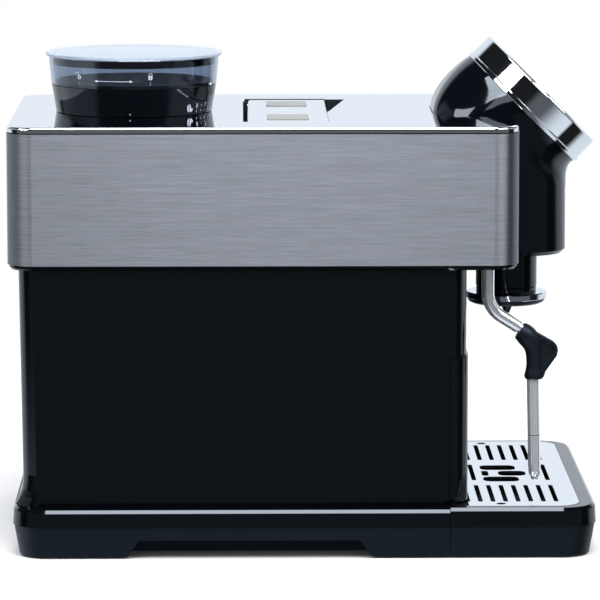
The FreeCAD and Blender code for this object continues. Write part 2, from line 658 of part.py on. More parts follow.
def make_display_board():
    board = upright(0, 0, BOARD_LOW, BOARD_LOW + 1.6, 40.5)
    switch = block(-3, 3, -3, 3, BOARD_LOW + 1.6, BOARD_LOW + 3.2)
    return on_pod(board.fuse(switch))


# ---- coffee outlet ----------------------------------------------------------------------------------

NECK_BOTTOM = 184.2
NECK_TOP = 256.0
RING_RADIUS = 30.7
RING_TOP = 180.0
RING_BOTTOM = 175.2
DISH_BOTTOM = 170.8
NOZZLE_TIP = 164.4


def make_outlet():
    tube = turned([(NECK_RADIUS - 3, NECK_BOTTOM), (NECK_RADIUS - 0.5, NECK_BOTTOM),
                   (NECK_RADIUS, NECK_BOTTOM + 0.5), (NECK_RADIUS, NECK_TOP),
                   (NECK_RADIUS - 3, NECK_TOP)], 0, OUTLET_Y)
    front_half = tube.common(block(-40, 40, -250, OUTLET_Y - 0.1, 0, 400))
    rear_half = tube.common(block(-40, 40, OUTLET_Y + 0.1, 0, 0, 400))
    foot = turned([(18, RING_TOP), (NECK_RADIUS - 0.3, RING_TOP), (NECK_RADIUS - 0.3, NECK_BOTTOM - 0.6),
                   (NECK_RADIUS - 1.2, NECK_BOTTOM), (18, NECK_BOTTOM)], 0, OUTLET_Y)
    export_group("outlet_neck", [front_half, rear_half, foot])
    ring = turned([(18, RING_BOTTOM), (RING_RADIUS - 0.3, RING_BOTTOM), (RING_RADIUS, RING_BOTTOM + 0.3),
                   (RING_RADIUS, RING_TOP - 0.7), (RING_RADIUS - 0.7, RING_TOP), (18, RING_TOP)], 0, OUTLET_Y)
    export("outlet_ring", ring)
    dish = turned([(0, RING_BOTTOM - 2), (18, RING_BOTTOM - 2), (18, RING_BOTTOM),
                   (RING_RADIUS - 0.8, RING_BOTTOM), (29.4, 173.6), (28.2, 172.2), (26.0, 171.2),
                   (22.0, DISH_BOTTOM), (0, DISH_BOTTOM)], 0, OUTLET_Y)
    for x in (-10, 10):
        nozzle = turned([(0, NOZZLE_TIP), (1.9, NOZZLE_TIP), (4.6, DISH_BOTTOM + 0.2), (4.6, 173.0), (0, 173.0)],
                        x, OUTLET_Y)
        dish = dish.fuse(nozzle).cut(upright(x, OUTLET_Y, 160, 180, 1.5))
    peg = upright(-6, OUTLET_Y - 8.6, DISH_BOTTOM - 1.4, DISH_BOTTOM + 1, 1.2)
    export("outlet_dish", dish.fuse(peg))


# ---- steam wand ----------------------------------------------------------------------------------------

ELBOW_Z = 178.8
KNEE = (-168.9, 158.0)
TUBE_END = (-171.5, 49.2)
ELBOW_BEND = 21.0
KNEE_BEND = 14.0
INNER_RADIUS = 3.7
GRIP_REACH = 12.2
GRIP_BOTTOM_Z = 125.4
TIP_LENGTH = 34.0


def wand_point(y, z):
    return Vector(WAND_X, y, z)


def down_tube(distance):
    """Point on the lower tube's centre line, this far up from its end."""
    start = wand_point(*TUBE_END)
    return start + (wand_point(*KNEE) - start).normalize() * distance


def bulge(y, z, angle, radius):
    """Ring about the wand's centre line for the grip's sleeve; angle 0 lies level."""
    turn = math.radians(angle)
    return Part.Wire(Part.makeCircle(radius, wand_point(y, z), Vector(0, math.sin(turn), math.cos(turn))))


def make_wand():
    top = wand_point(WAND_AXIS_Y, BALL_Z - 6)
    elbow = wand_point(WAND_AXIS_Y, ELBOW_Z)
    knee = wand_point(*KNEE)
    back = (elbow - knee).normalize()
    grip_top = knee + back * GRIP_REACH
    tip_top = down_tube(TIP_LENGTH)
    thread = down_tube(TIP_LENGTH - 8)
    grip_foot = down_tube(81.0)
    upper_path = [top, elbow, grip_top]
    inner_path = [grip_top + back, knee, down_tube(80.0)]
    tube = bent_rod(upper_path, WAND_RADIUS, ELBOW_BEND).fuse(bent_rod(inner_path, INNER_RADIUS, KNEE_BEND))
    tube = tube.fuse(rod(grip_foot, tip_top, WAND_RADIUS)).fuse(rod(tip_top, thread, 3.4))
    bore = bent_rod([top, elbow, knee, thread], 2.2, KNEE_BEND)
    ball = Part.makeSphere(BALL_RADIUS, wand_point(WAND_AXIS_Y, BALL_Z))
    ball = ball.cut(upright(WAND_X, WAND_AXIS_Y, BALL_Z - 12, BALL_Z + 12, 2.2))
    export("wand_tube", tube.cut(bore).fuse(ball))

    rings = [bulge(-159.3, 161.7, 58, 6.6), bulge(-161.3, 160.6, 56, 7.3), bulge(-164.6, 157.8, 44, 7.9),
             bulge(-168.3, 152.2, 24, 7.2), bulge(-170.0, 145.5, 8, 6.1), bulge(-170.3, 138.0, 0, 5.7),
             bulge(-170.3, 131.8, 0, 6.4), bulge(-170.2, 127.6, 0, 7.1), bulge(-170.3, GRIP_BOTTOM_Z, 0, 6.4)]
    sleeve = Part.makeLoft(rings, True, False)
    edge = [(-164.5, 165.2), (-168.4, 164.7), (-171.0, 161.3), (-184.6, 153.6), (-187.2, 150.9), (-188.1, 147.4),
            (-187.2, 143.0), (-178.8, 131.2), (-177.7, 127.2), (-174.8, 125.4), (-169.5, 125.6)]
    fin = side_prism(edge, WAND_X - 3.6, WAND_X + 3.6)
    face = [(-174.6, 156.0), (-183.2, 151.2), (-184.8, 147.6), (-183.8, 144.2), (-176.6, 133.8), (-173.6, 130.0)]
    dents = [side_prism(face, WAND_X + low, WAND_X + low + 2.4) for low in (-4.2, 1.8)]
    grip = sleeve.fuse(fin).cut(dents)
    play = 0.06
    grip = grip.cut(rod(grip_top - back * play, grip_top + back * 20, WAND_RADIUS + play))
    grip = grip.cut(bent_rod([grip_top + back * 5, knee, down_tube(75.0)], INNER_RADIUS + play, KNEE_BEND))
    export("wand_grip", grip.cut(rod(grip_foot + (knee - tip_top).normalize() * play, tip_top, WAND_RADIUS + play)))

    tip = turned([(0.7, 0), (2.4, 0), (2.8, 0.5), (2.9, 2.2), (3.9, 3.4), (4.5, 6.0),
                  (WAND_RADIUS, 12.0), (WAND_RADIUS, TIP_LENGTH - 0.2), (3.46, TIP_LENGTH - 0.2),
                  (3.46, TIP_LENGTH - 8.2), (2.2, TIP_LENGTH - 8.2), (2.2, 6), (0.7, 4)])
    lean = Rotation(UP, knee - wand_point(*TUBE_END))
    tip.Placement = Placement(wand_point(*TUBE_END), lean)
    export("wand_tip", tip)


def make_wand_seat():
    seat = block(WAND_X - 14, WAND_X + 14, WAND_AXIS_Y - 14, WAND_AXIS_Y + 14, CHASSIS_TOP, BALL_Z + 12)
    seat = seat.cut(Part.makeSphere(BALL_RADIUS + 0.08, Vector(WAND_X, WAND_AXIS_Y, BALL_Z)))
    seat = seat.cut(upright(WAND_X, WAND_AXIS_Y, CHASSIS_TOP - 1, BALL_Z, 6.4))
    seat = seat.cut(upright(WAND_X, WAND_AXIS_Y, BALL_Z, BALL_Z + 13, 2.5))
    lower = block(-200, 0, -200, 0, 0, BALL_Z)
    upper = block(-200, 0, -200, 0, BALL_Z, 300)
    export_group("wand_seat", [seat.common(lower), seat.common(upper)])


# ---- grounds drawer, drip tray and grid -------------------------------------------------------------------

DRAWER_FRONT = -119.8
DRAWER_BOTTOM = 37.3
RIM_TOP = 38.2
BASIN_HALF = 134.0
BASIN_FRONT = -200.0
BASIN_REAR = -110.5
BASIN_TOP = 36.2
BASIN_CORNER = 14.0


def make_drawer():
    outside = rounded_block(-BODY_HALF, BODY_HALF, DRAWER_FRONT, 0, DRAWER_BOTTOM, DRAWER_TOP, BODY_CORNER)
    inside = rounded_block(-BODY_HALF + WALL, BODY_HALF - WALL, DRAWER_FRONT + WALL, 10,
                           DRAWER_BOTTOM + 2, DRAWER_TOP - 2, BODY_CORNER - WALL)
    front = outside.cut(inside).common(block(-200, 200, -200, SEAM_Y - SEAM_GAP, 0, 300))
    floor = DRAWER_BOTTOM + 2
    sled = block(-100, 100, SEAM_Y - SEAM_GAP, -24, DRAWER_BOTTOM, floor)
    for side in (-1, 1):
        low, high = sorted((side * 97, side * 100))
        sled = sled.fuse(block(low, high, SEAM_Y - SEAM_GAP, -24, floor, 56))
    export("drawer_front", front.fuse(sled))
    bin_outside = rounded_block(-95, -5, -104, -27, floor + 0.4, 136, 10)
    bin_inside = rounded_block(-92.5, -7.5, -101.5, -29.5, floor + 2.9, 137, 7.5)
    export("grounds_container", bin_outside.cut(bin_inside))


def make_tray():
    skirt = skirt_shell.common(ahead_of_seam)
    skirt = skirt.fuse(seam_wall(SEAM_Y - SEAM_GAP - WALL, SEAM_Y - SEAM_GAP))
    export("tray_skirt", skirt)

    rim = band_block(SKIRT_TOP, RIM_TOP, 0)
    rim = rim.makeChamfer(BASE_CHAMFER, [edge for edge in rim.Edges if at_height(RIM_TOP)(edge)])
    rim = rim.cut(rounded_block(-BASIN_HALF - 0.1, BASIN_HALF + 0.1, BASIN_FRONT - 0.1, BASIN_REAR + 0.1,
                                SKIRT_TOP - 1, BASIN_TOP + 3, BASIN_CORNER + 0.1))
    grid_seat = rounded_block(-GRID_HALF - 0.4, GRID_HALF + 0.4, GRID_FRONT - 0.4, 0,
                              BASIN_TOP, RIM_TOP + 1, 18.4)
    rim = rim.cut(grid_seat.common(block(-200, 200, -300, GRID_REAR + 0.5, 0, 60)))
    rim = rim.cut(block(-BODY_HALF - 1.5, BODY_HALF + 1.5, GRID_REAR + 0.4, 0, DECK_TOP, RIM_TOP + 1))
    export("tray_rim", rim.common(ahead_of_seam))

    basin = rounded_block(-BASIN_HALF, BASIN_HALF, BASIN_FRONT, BASIN_REAR, SKIRT_FLOOR, BASIN_TOP,
                          BASIN_CORNER)
    basin = basin.cut(rounded_block(-BASIN_HALF + 2, BASIN_HALF - 2, BASIN_FRONT + 2, BASIN_REAR - 2,
                                    SKIRT_FLOOR + 2, BASIN_TOP + 1, BASIN_CORNER - 2))
    export("tray_basin", basin)


def slot(centre_x, centre_y, length_x, length_y, corner):
    return rounded_block(centre_x - length_x / 2, centre_x + length_x / 2, centre_y - length_y / 2,
                         centre_y + length_y / 2, GRID_TOP - 5, GRID_TOP + 1, corner)


def make_grid():
    plate = rounded_block(-GRID_HALF, GRID_HALF, GRID_FRONT, 0, GRID_TOP - 1.8, GRID_TOP, 18.0)
    plate = plate.common(block(-200, 200, -300, GRID_REAR, 0, 60))
    cuts = []
    for row in range(-1, 7):
        y = -129.25 - SLOT_PITCH * row
        for x in (-86, 0, 86):
            if x == 0 and 0 < row < 6:
                continue
            cuts.append(slot(x, y, SLOT_LENGTH, SLOT_WIDTH, SLOT_WIDTH / 2 - 0.02))
    wide = 20.0
    cuts.append(slot(-28, -150.1, wide, 27.2, 6.0))
    cuts.append(slot(-4, -139.1, wide, 5.2, 2.5))
    cuts.append(slot(-4, -159.8, wide, 21.1, 6.0))
    cuts.append(slot(20, -150.1, wide, 27.2, 6.0))
    for side in (-1, 1):
        cuts.append(upright(side * 127, -143.9, GRID_TOP - 5, GRID_TOP + 1, 3.5))
    export("drip_grid", plate.cut(cuts))


# ---- water tank --------------------------------------------------------------------------------------------

def make_tank():
    shape = block(TANK_LEFT, TANK_RIGHT, TANK_FRONT, 240, TANK_BOTTOM, TANK_TOP).common(body_solid)
    hollow = block(TANK_LEFT + 2.5, TANK_RIGHT - 2.5, TANK_FRONT + 2.5, 240, TANK_BOTTOM + 2.5, TANK_TOP + 1)
    shape = shape.cut(hollow.common(body_block(2.5, DECK_TOP, BODY_TOP)))
    grip = block(-44, 6, 200, 230, 170, 190)
    pocket = block(-46.5, 8.5, 197.5, 230, 167.5, 192.5).common(body_solid)
    shape = shape.fuse(pocket).cut(grip)
    valve_x = 40.0
    valve = rod(Vector(valve_x, TANK_FRONT - 1.6, 52), Vector(valve_x, TANK_FRONT + 8, 52), 5.0)
    port = rod(Vector(valve_x, TANK_FRONT - 2, 52), Vector(valve_x, TANK_FRONT + 9, 52), 1.5)
    export("water_tank", shape.fuse(valve).cut(port))
    lid = block(TANK_LEFT, TANK_RIGHT, TANK_FRONT, 240, TANK_TOP, TANK_TOP + 3).common(body_solid)
    rim = block(TANK_LEFT + 3, TANK_RIGHT - 3, TANK_FRONT + 3, 206, TANK_TOP - 3, TANK_TOP)
    rim = rim.cut(block(TANK_LEFT + 5, TANK_RIGHT - 5, TANK_FRONT + 5, 204, TANK_TOP - 4, TANK_TOP))
    export("tank_lid", lid.fuse(rim))


# ---- working parts inside the body ---------------------------------------------------------------------------

BULKHEAD_Y = 106.0
BREW_X = 50.0
BREW_Y = 14.0
BREW_BORE = 18.0


def make_bulkhead():
    wall = block(-122, 122, BULKHEAD_Y, BULKHEAD_Y + 2, DECK_TOP, BODY_TOP)
    wall = wall.cut(rod(Vector(40, 100, 52), Vector(40, 112, 52), 4.0))
    shelf = block(TANK_LEFT, TANK_RIGHT, BULKHEAD_Y + 2, 200, DECK_TOP, DECK_TOP + 4)
    export("rear_bulkhead", wall.fuse(shelf))


def make_brew_unit():
    frame = block(16, 100, -14, 60, DECK_TOP, 41)
    frame = frame.fuse(block(16, 19, -14, 60, 41, 206)).fuse(block(16, 100, 57, 60, 41, 206))
    frame = frame.fuse(block(16, 100, -14, 60, 203, 206))
    frame = frame.cut(upright(BREW_X, BREW_Y, 200, 210, 15.0))
    frame = frame.cut(upright(88, BREW_Y, 38, 210, 5.0))
    motor = upright(88, BREW_Y, 206, 211.5, 11).fuse(upright(88, BREW_Y, 202, 206, 5.0))
    export("brew_frame", frame.fuse(motor))

    cylinder = upright(BREW_X, BREW_Y, 110, 172, 24).fuse(block(19, BREW_X, BREW_Y - 8, BREW_Y + 8, 120, 160))
    cylinder = cylinder.cut(upright(BREW_X, BREW_Y, 109, 173, BREW_BORE))
    export("brew_cylinder", cylinder)

    piston = upright(BREW_X, BREW_Y, 100, 116, BREW_BORE - 0.08).fuse(upright(BREW_X, BREW_Y, 62, 100, 6))
    arm = block(BREW_X, 88, BREW_Y - 7, BREW_Y + 7, 62, 74).cut(upright(88, BREW_Y, 60, 76, 8))
    nut = upright(88, BREW_Y, 62, 74, 9).cut(upright(88, BREW_Y, 60, 76, 4.6))
    export("brew_piston", piston.fuse(arm).fuse(nut))
    screw = upright(88, BREW_Y, 42, 201, 4.5)
    export("brew_screw", screw)


def make_water_parts():
    pump = rod(Vector(-84, -14, 70), Vector(-84, 62, 70), 19)
    pump = pump.fuse(rod(Vector(-84, 62, 70), Vector(-84, 78, 70), 8))
    pump = pump.fuse(block(-104, -64, 8, 40, 50, 90))
    export("pump", pump)
    brackets = []
    for y in (-10, 48):
        cradle = block(-100, -68, y, y + 8, DECK_TOP, 60)
        brackets.append(cradle.cut(rod(Vector(-84, y - 1, 70), Vector(-84, y + 9, 70), 19.2)))

    boilers = []
    for z0, z1 in ((104, 128), (150, 176)):
        boiler = rounded_block(-112, -60, -16, 74, z0, z1, 6)
        for y in range(-8, 72, 14):
            boiler = boiler.cut(block(-113, -59, y, y + 5, z1 - 4, z1 + 1))
        boilers.append(boiler)
    export_group("boilers", boilers)
    for y in (-16, 66):
        bracket = block(-58, -55, y, y + 8, DECK_TOP, 180)
        for z0 in (104, 150):
            bracket = bracket.fuse(block(-60, -55, y, y + 8, z0 + 4, z0 + 16))
        brackets.append(bracket)
    for y in (-16, 86):
        for z in (64, 190):
            brackets.append(rod(Vector(-125, y, z), Vector(-121, y, z), 3.0))
    export_group("inner_brackets", brackets)

    valve = block(-40, -12, 70, 92, 60, 82).fuse(rod(Vector(-26, 81, 82), Vector(-26, 81, 100), 7))
    valve = valve.fuse(block(-38, -14, 92, BULKHEAD_Y, 64, 78))
    export("brew_valve", valve)


def make_hoses():
    routes = [
        ([(40, 105.8, 52), (40, 94, 52), (-14, 94, 46), (-64, 94, 50), (-84, 94, 50),
          (-84, 94, 70), (-84, 78.2, 70)], 3.5, 6.0),
        ([(-96, -14.2, 70), (-96, -22, 70), (-96, -22, 116), (-96, -16.2, 116)], 3.0, 4.0),
        ([(-59.8, 20, 116), (-48, 20, 116), (-20, 8, 116), (4, 6, 128), (15.2, 6, 128)], 3.0, 8.0),
        ([(-86, -16.2, 163), (-86, -66, 163), (-86, -80, 190), (-86, -80, 256),
          (-86, -135.8, 256), (-86, -135.8, 244.2)], 3.5, 9.0),
    ]
    runs = [([Vector(*point) for point in points], radius, bend) for points, radius, bend in routes]
    export_group("hoses", [bent_rod(*run) for run in runs])


def make_electronics():
    board = block(-121, -119.4, -20, 92, 60, 196)
    for y, z, size in ((-5, 80, 18), (30, 90, 26), (62, 150, 20), (10, 150, 22)):
        board = board.fuse(block(-119.4, -113.8, y, y + size, z, z + size))
    export_group("circuit_boards", [board, make_display_board()])


make_skirt()
make_band()
make_feet_and_screws()
make_side_panels()
make_front_panel()
make_rear_panel()
make_power_entry()
make_service_door()
make_upper_trim()
make_upper_chassis()
make_wrap()
make_gasket()
make_top_plate()
make_lid_well()
make_service_lid()
make_hopper()
make_hopper_lid()
make_grinder()
make_column()
make_pod()
make_outlet()
make_wand()
make_wand_seat()
make_drawer()
make_tray()
make_grid()
make_tank()
make_bulkhead()
make_brew_unit()
make_water_parts()
make_hoses()
make_electronics()
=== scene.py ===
"""Looks of a bean-to-cup espresso machine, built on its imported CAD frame. Metres; the front faces -Y."""

import math

import bmesh
import bpy
from mathutils import Matrix, Vector

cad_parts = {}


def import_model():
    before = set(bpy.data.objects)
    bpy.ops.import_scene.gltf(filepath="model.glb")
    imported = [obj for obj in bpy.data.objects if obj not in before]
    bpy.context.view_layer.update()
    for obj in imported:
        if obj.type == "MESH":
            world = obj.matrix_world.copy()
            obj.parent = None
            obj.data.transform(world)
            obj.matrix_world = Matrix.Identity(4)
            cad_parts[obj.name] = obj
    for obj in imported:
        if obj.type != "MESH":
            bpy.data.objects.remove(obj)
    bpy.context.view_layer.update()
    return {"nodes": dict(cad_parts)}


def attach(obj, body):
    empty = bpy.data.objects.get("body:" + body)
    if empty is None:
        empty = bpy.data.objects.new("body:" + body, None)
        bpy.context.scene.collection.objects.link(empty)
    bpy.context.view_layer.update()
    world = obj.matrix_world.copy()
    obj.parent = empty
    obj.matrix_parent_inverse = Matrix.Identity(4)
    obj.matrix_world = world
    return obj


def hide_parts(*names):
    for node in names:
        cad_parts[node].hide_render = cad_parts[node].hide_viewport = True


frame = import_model()
NODES = frame["nodes"]
SLOT_OF = {n: o.data.materials[0].name for n, o in NODES.items() if o.data.materials}

# ------------------------------------------------------------------ materials


class Surface:
    """A material under construction: its node tree, with short ways to add nodes."""

    def __init__(self, name):
        self.material = bpy.data.materials.new("look_" + name)
        self.material.use_nodes = True
        self.tree = self.material.node_tree
        self.shader = self.tree.nodes["Principled BSDF"]
        self.place = self.add("ShaderNodeTexCoord").outputs["Object"]

    def add(self, kind, inputs=(), **settings):
        node = self.tree.nodes.new(kind)
        for key, value in settings.items():
            setattr(node, key, value)
        for key, value in dict(inputs).items():
            self.put(node.inputs[key], value)
        return node

    def put(self, socket, value):
        if isinstance(value, bpy.types.NodeSocket):
            self.tree.links.new(value, socket)
        elif isinstance(value, tuple) and len(value) == 3 and socket.type == "RGBA":
            socket.default_value = (*value, 1.0)
        else:
            socket.default_value = value

    def stretched(self, scale):
        inputs = {"Vector": self.place, "Scale": scale}
        return self.add("ShaderNodeMapping", inputs).outputs["Vector"]

    def noise(self, scale, detail=3.0, rough=0.55, where=None, warp=0.0):
        inputs = {"Vector": where or self.place, "Scale": scale, "Detail": detail}
        inputs |= {"Roughness": rough, "Distortion": warp}
        return self.add("ShaderNodeTexNoise", inputs).outputs["Fac"]

    def cells(self, scale, where=None, feature="F1"):
        inputs = {"Vector": where or self.place, "Scale": scale}
        return self.add("ShaderNodeTexVoronoi", inputs, feature=feature).outputs["Distance"]

    def span(self, value, low, high, start=0.3, end=0.7):
        inputs = {"Value": value, "From Min": start, "From Max": end, "To Min": low, "To Max": high}
        return self.add("ShaderNodeMapRange", inputs).outputs["Result"]

    def blend(self, share, a, b, kind="MIX"):
        node = self.add("ShaderNodeMix", data_type="RGBA", blend_type=kind)
        self.put(node.inputs[0], share)
        self.put(node.inputs[6], a)
        self.put(node.inputs[7], b)
        return node.outputs[2]

    def maths(self, how, a, b=0.0):
        node = self.add("ShaderNodeMath", operation=how)
        self.put(node.inputs[0], a)
        self.put(node.inputs[1], b)
        return node.outputs[0]

    def bump(self, height, strength, depth):
        inputs = {"Height": height, "Strength": strength, "Distance": depth}
        return self.add("ShaderNodeBump", inputs).outputs["Normal"]

    def finish(self, **inputs):
        for key, value in inputs.items():
            self.put(self.shader.inputs[key.replace("_", " ")], value)
        return self.material


def gloss_black(name="gloss_black"):
    s = Surface(name)
    haze = s.noise(9.0, 4.0)
    smear = s.noise(46.0, 5.0, 0.65, s.stretched((1.0, 1.0, 0.35)))
    peel = s.noise(310.0, 1.0, 0.4)
    return s.finish(
        Base_Color=s.blend(haze, (0.0006, 0.0008, 0.0013), (0.0012, 0.0016, 0.0026)),
        Roughness=s.maths("ADD", s.span(haze, 0.035, 0.06), s.span(smear, 0.0, 0.03)),
        Specular_IOR_Level=0.5,
        Specular_Tint=(0.78, 0.88, 1.0),
        Normal=s.bump(peel, 0.02, 0.0004),
    )


def satin_black(
    name="satin_black", low=0.34, high=0.46, tone=(0.0022, 0.0028, 0.0042), grain=2300.0, relief=0.10
):
    s = Surface(name)
    cloud = s.noise(14.0, 3.0)
    fine = s.noise(grain, 2.0, 0.6)
    darker = tuple(0.65 * c for c in tone)
    return s.finish(
        Base_Color=s.blend(cloud, darker, tone),
        Roughness=s.maths("ADD", s.span(cloud, low, high), s.span(fine, -0.02, 0.03)),
        Specular_IOR_Level=0.26,
        Specular_Tint=(0.55, 0.75, 1.0),
        Normal=s.bump(fine, relief, 0.0001),
    )


def brushed_steel(name, stretch, tone, rough, lines, aniso):
    s = Surface(name)
    hair = s.noise(1.0, 3.0, 0.75, s.stretched(stretch))
    wide = s.noise(1.0, 2.0, 0.5, s.stretched(tuple(v * 0.31 for v in stretch)))
    haze = s.noise(5.0, 2.0)
    dark = tuple(c * 0.74 for c in tone)
    light = tuple(min(1.0, c * 1.26) for c in tone)
    streaks = s.maths("ADD", s.maths("MULTIPLY", hair, 0.65), s.maths("MULTIPLY", wide, 0.35))
    colour = s.blend(s.span(streaks, 0.0, 1.0, 0.32, 0.68), dark, light)
    return s.finish(
        Base_Color=s.blend(s.span(haze, 0.0, 0.12), colour, light),
        Metallic=1.0,
        Roughness=s.span(streaks, rough[0], rough[1]),
        Anisotropic=aniso,
        Anisotropic_Rotation=0.25,
        Normal=s.bump(hair, 0.05 * lines, 0.0002),
    )


def bright_metal(name, tone=(0.80, 0.83, 0.88), rough=(0.02, 0.05), relief=0.008, metallic=1.0):
    s = Surface(name)
    smudge = s.noise(38.0, 5.0, 0.62, warp=0.4)
    rub = s.noise(900.0, 2.0, 0.5, s.stretched((1.0, 0.08, 1.0)))
    deep = tuple(c * 0.93 for c in tone)
    return s.finish(
        Base_Color=s.blend(smudge, deep, tone),
        Metallic=metallic,
        Roughness=s.maths("ADD", s.span(smudge, rough[0], rough[1]), s.span(rub, 0.0, 0.015)),
        Normal=s.bump(rub, relief, 0.0001),
    )


def cast_metal(name, tone, rough=(0.35, 0.5), grain=700.0, relief=0.25):
    s = Surface(name)
    fine = s.noise(grain, 4.0, 0.7)
    cloud = s.noise(25.0, 3.0)
    deep = tuple(c * 0.75 for c in tone)
    return s.finish(
        Base_Color=s.blend(cloud, deep, tone),
        Metallic=1.0,
        Roughness=s.span(fine, rough[0], rough[1]),
        Normal=s.bump(fine, relief, 0.00015),
    )


def smoked_clear(name="smoked_clear", tone=(0.44, 0.50, 0.60), clear=1.0):
    s = Surface(name)
    drift = s.noise(18.0, 3.0)
    rub = s.noise(420.0, 3.0, 0.6)
    deep = tuple(c * 0.92 for c in tone)
    return s.finish(
        Base_Color=s.blend(drift, deep, tone),
        Roughness=s.span(rub, 0.012, 0.04),
        Transmission_Weight=clear,
        IOR=1.46,
        Normal=s.bump(drift, 0.01, 0.0004),
    )


def display_glass(name="display_black"):
    s = Surface(name)
    smudge = s.noise(52.0, 5.0, 0.65, warp=0.6)
    return s.finish(
        Base_Color=s.blend(smudge, (0.002, 0.0022, 0.003), (0.004, 0.0045, 0.006)),
        Roughness=s.span(smudge, 0.015, 0.05),
        Coat_Weight=1.0,
        Coat_Roughness=0.02,
    )


def moulded(name, tone, low=0.4, high=0.55, grain=1300.0, relief=0.12):
    s = Surface(name)
    cloud = s.noise(20.0, 3.0)
    fine = s.noise(grain, 3.0, 0.6)
    deep = tuple(c * 0.8 for c in tone)
    return s.finish(
        Base_Color=s.blend(cloud, deep, tone),
        Roughness=s.span(fine, low, high),
        Normal=s.bump(fine, relief, 0.00012),
    )


def circuit(name="circuit_green"):
    s = Surface(name)
    tracks = s.cells(260.0, s.stretched((1.0, 1.0, 1.6)), "DISTANCE_TO_EDGE")
    fine = s.noise(1500.0, 2.0)
    mask = s.span(tracks, 0.0, 1.0, 0.03, 0.06)
    return s.finish(
        Base_Color=s.blend(mask, (0.02, 0.16, 0.07), (0.006, 0.07, 0.03)),
        Roughness=s.span(fine, 0.25, 0.4),
        Normal=s.bump(mask, 0.2, 0.0001),
    )


LOOKS = {
    "gloss_black": gloss_black(),
    "satin_black": satin_black(),
    "steel_brushed": brushed_steel(
        "steel_brushed", (46.0, 46.0, 2600.0), (0.215, 0.23, 0.26), (0.43, 0.5), 1.6, 0.9
    ),
    "steel_polished": bright_metal("steel_polished", (0.86, 0.88, 0.93), (0.008, 0.025), 0.004),
    "grid_steel": bright_metal("grid_steel", (0.86, 0.88, 0.92), (0.10, 0.16), 0.02),
    "chrome": bright_metal("chrome"),
    "smoked_clear": smoked_clear(),
    "smoked_black": gloss_black("smoked_black"),
    "display_black": display_glass(),
    "rubber": satin_black("rubber", 0.36, 0.46, (0.004, 0.0045, 0.006), 1700.0, 0.14),
    "pad_grey": moulded("pad_grey", (0.15, 0.155, 0.155), 0.35, 0.5),
    "inner_black": moulded("inner_black", (0.012, 0.012, 0.014), 0.35, 0.5),
    "inner_grey": moulded("inner_grey", (0.16, 0.165, 0.17)),
    "sheet_steel": brushed_steel(
        "sheet_steel", (40.0, 600.0, 40.0), (0.55, 0.57, 0.6), (0.3, 0.42), 0.6, 0.3
    ),
    "boiler_alu": cast_metal("boiler_alu", (0.62, 0.63, 0.65)),
    "burr_steel": cast_metal("burr_steel", (0.5, 0.5, 0.52), (0.18, 0.3), 1500.0, 0.1),
    "hose": moulded("hose", (0.62, 0.63, 0.62), 0.25, 0.4, 500.0, 0.05),
    "circuit_green": circuit(),
}

LID_TINT = smoked_clear("lid_tint", (0.60, 0.68, 0.80), 0.78)
STEAM_TUBE = bright_metal("steam_tube", (0.86, 0.89, 0.95), (0.09, 0.14), 0.01, 0.84)
OWN_LOOK = {"hopper_lid": LID_TINT, "wand_tube": STEAM_TUBE, "wand_tip": STEAM_TUBE}

for node, slot_name in SLOT_OF.items():
    mesh = NODES[node].data
    for i in range(len(mesh.materials)):
        mesh.materials[i] = OWN_LOOK.get(node, LOOKS[slot_name])

# -------------------------------------------------------------- soft moulded grip

GRIP_VOXEL = 0.00042
grip = NODES["wand_grip"]
remesh = grip.modifiers.new("blend", "REMESH")
remesh.mode = "VOXEL"
remesh.voxel_size = GRIP_VOXEL
remesh.use_smooth_shade = True
soften = grip.modifiers.new("soften", "SMOOTH")
soften.factor = 0.5
soften.iterations = 9

# ------------------------------------------------------------ printed marks, in mm


def strip(points, width):
    """Flat bars of one width along a run of points."""
    bars = []
    for (x0, y0), (x1, y1) in zip(points, points[1:]):
        length = math.hypot(x1 - x0, y1 - y0)
        nx, ny = -(y1 - y0) / length * width / 2, (x1 - x0) / length * width / 2
        bars.append([(x0 - nx, y0 - ny), (x1 - nx, y1 - ny), (x1 + nx, y1 + ny), (x0 + nx, y0 + ny)])
    return bars


def arc(cx, cy, radius, start, end, width, count=12):
    turns = [math.radians(start + (end - start) * k / count) for k in range(count + 1)]
    return strip([(cx + radius * math.cos(t), cy + radius * math.sin(t)) for t in turns], width)


def oval(cx, cy, half_x, half_y, tilt=0.0, start=0.0, end=360.0, count=24):
    """Filled ellipse, or the part of it between two angles."""
    c, n = math.cos(math.radians(tilt)), math.sin(math.radians(tilt))
    rim = []
    for k in range(count):
        t = math.radians(start + (end - start) * k / (count if end - start >= 360 else count - 1))
        x, y = half_x * math.cos(t), half_y * math.sin(t)
        rim.append((cx + x * c - y * n, cy + x * n + y * c))
    return [rim]


def moved(shapes, dx, dy):
    return [[(x + dx, y + dy) for x, y in shape] for shape in shapes]


def padlock(is_open):
    body = arc(0.0, 0.0, 1.15, 0, 360, 0.95, 20)
    if is_open:
        hoop = arc(-2.1, 2.3, 1.5, -15, 195, 0.34) + strip([(-0.65, 1.9), (-0.5, 0.9)], 0.34)
    else:
        hoop = arc(0.0, 2.1, 1.3, -10, 190, 0.34) + strip([(-1.28, 1.9), (-1.2, 0.9)], 0.34)
        hoop += strip([(1.28, 1.9), (1.2, 0.9)], 0.34)
    return body + hoop + strip([(0.0, -3.4), (0.0, -5.8)], 0.32)


def double_arrow(length):
    steps = int(length / 1.5)
    shapes = strip([(-length / 2 + 2 + (length - 4) * k / steps, 0.0) for k in range(steps + 1)], 0.4)
    for way in (-1, 1):
        tip, back = way * length / 2, way * (length / 2 - 2.5)
        shapes.append([(tip, 0.0), (back, 1.05), (back, -1.05)][::way])
    return shapes


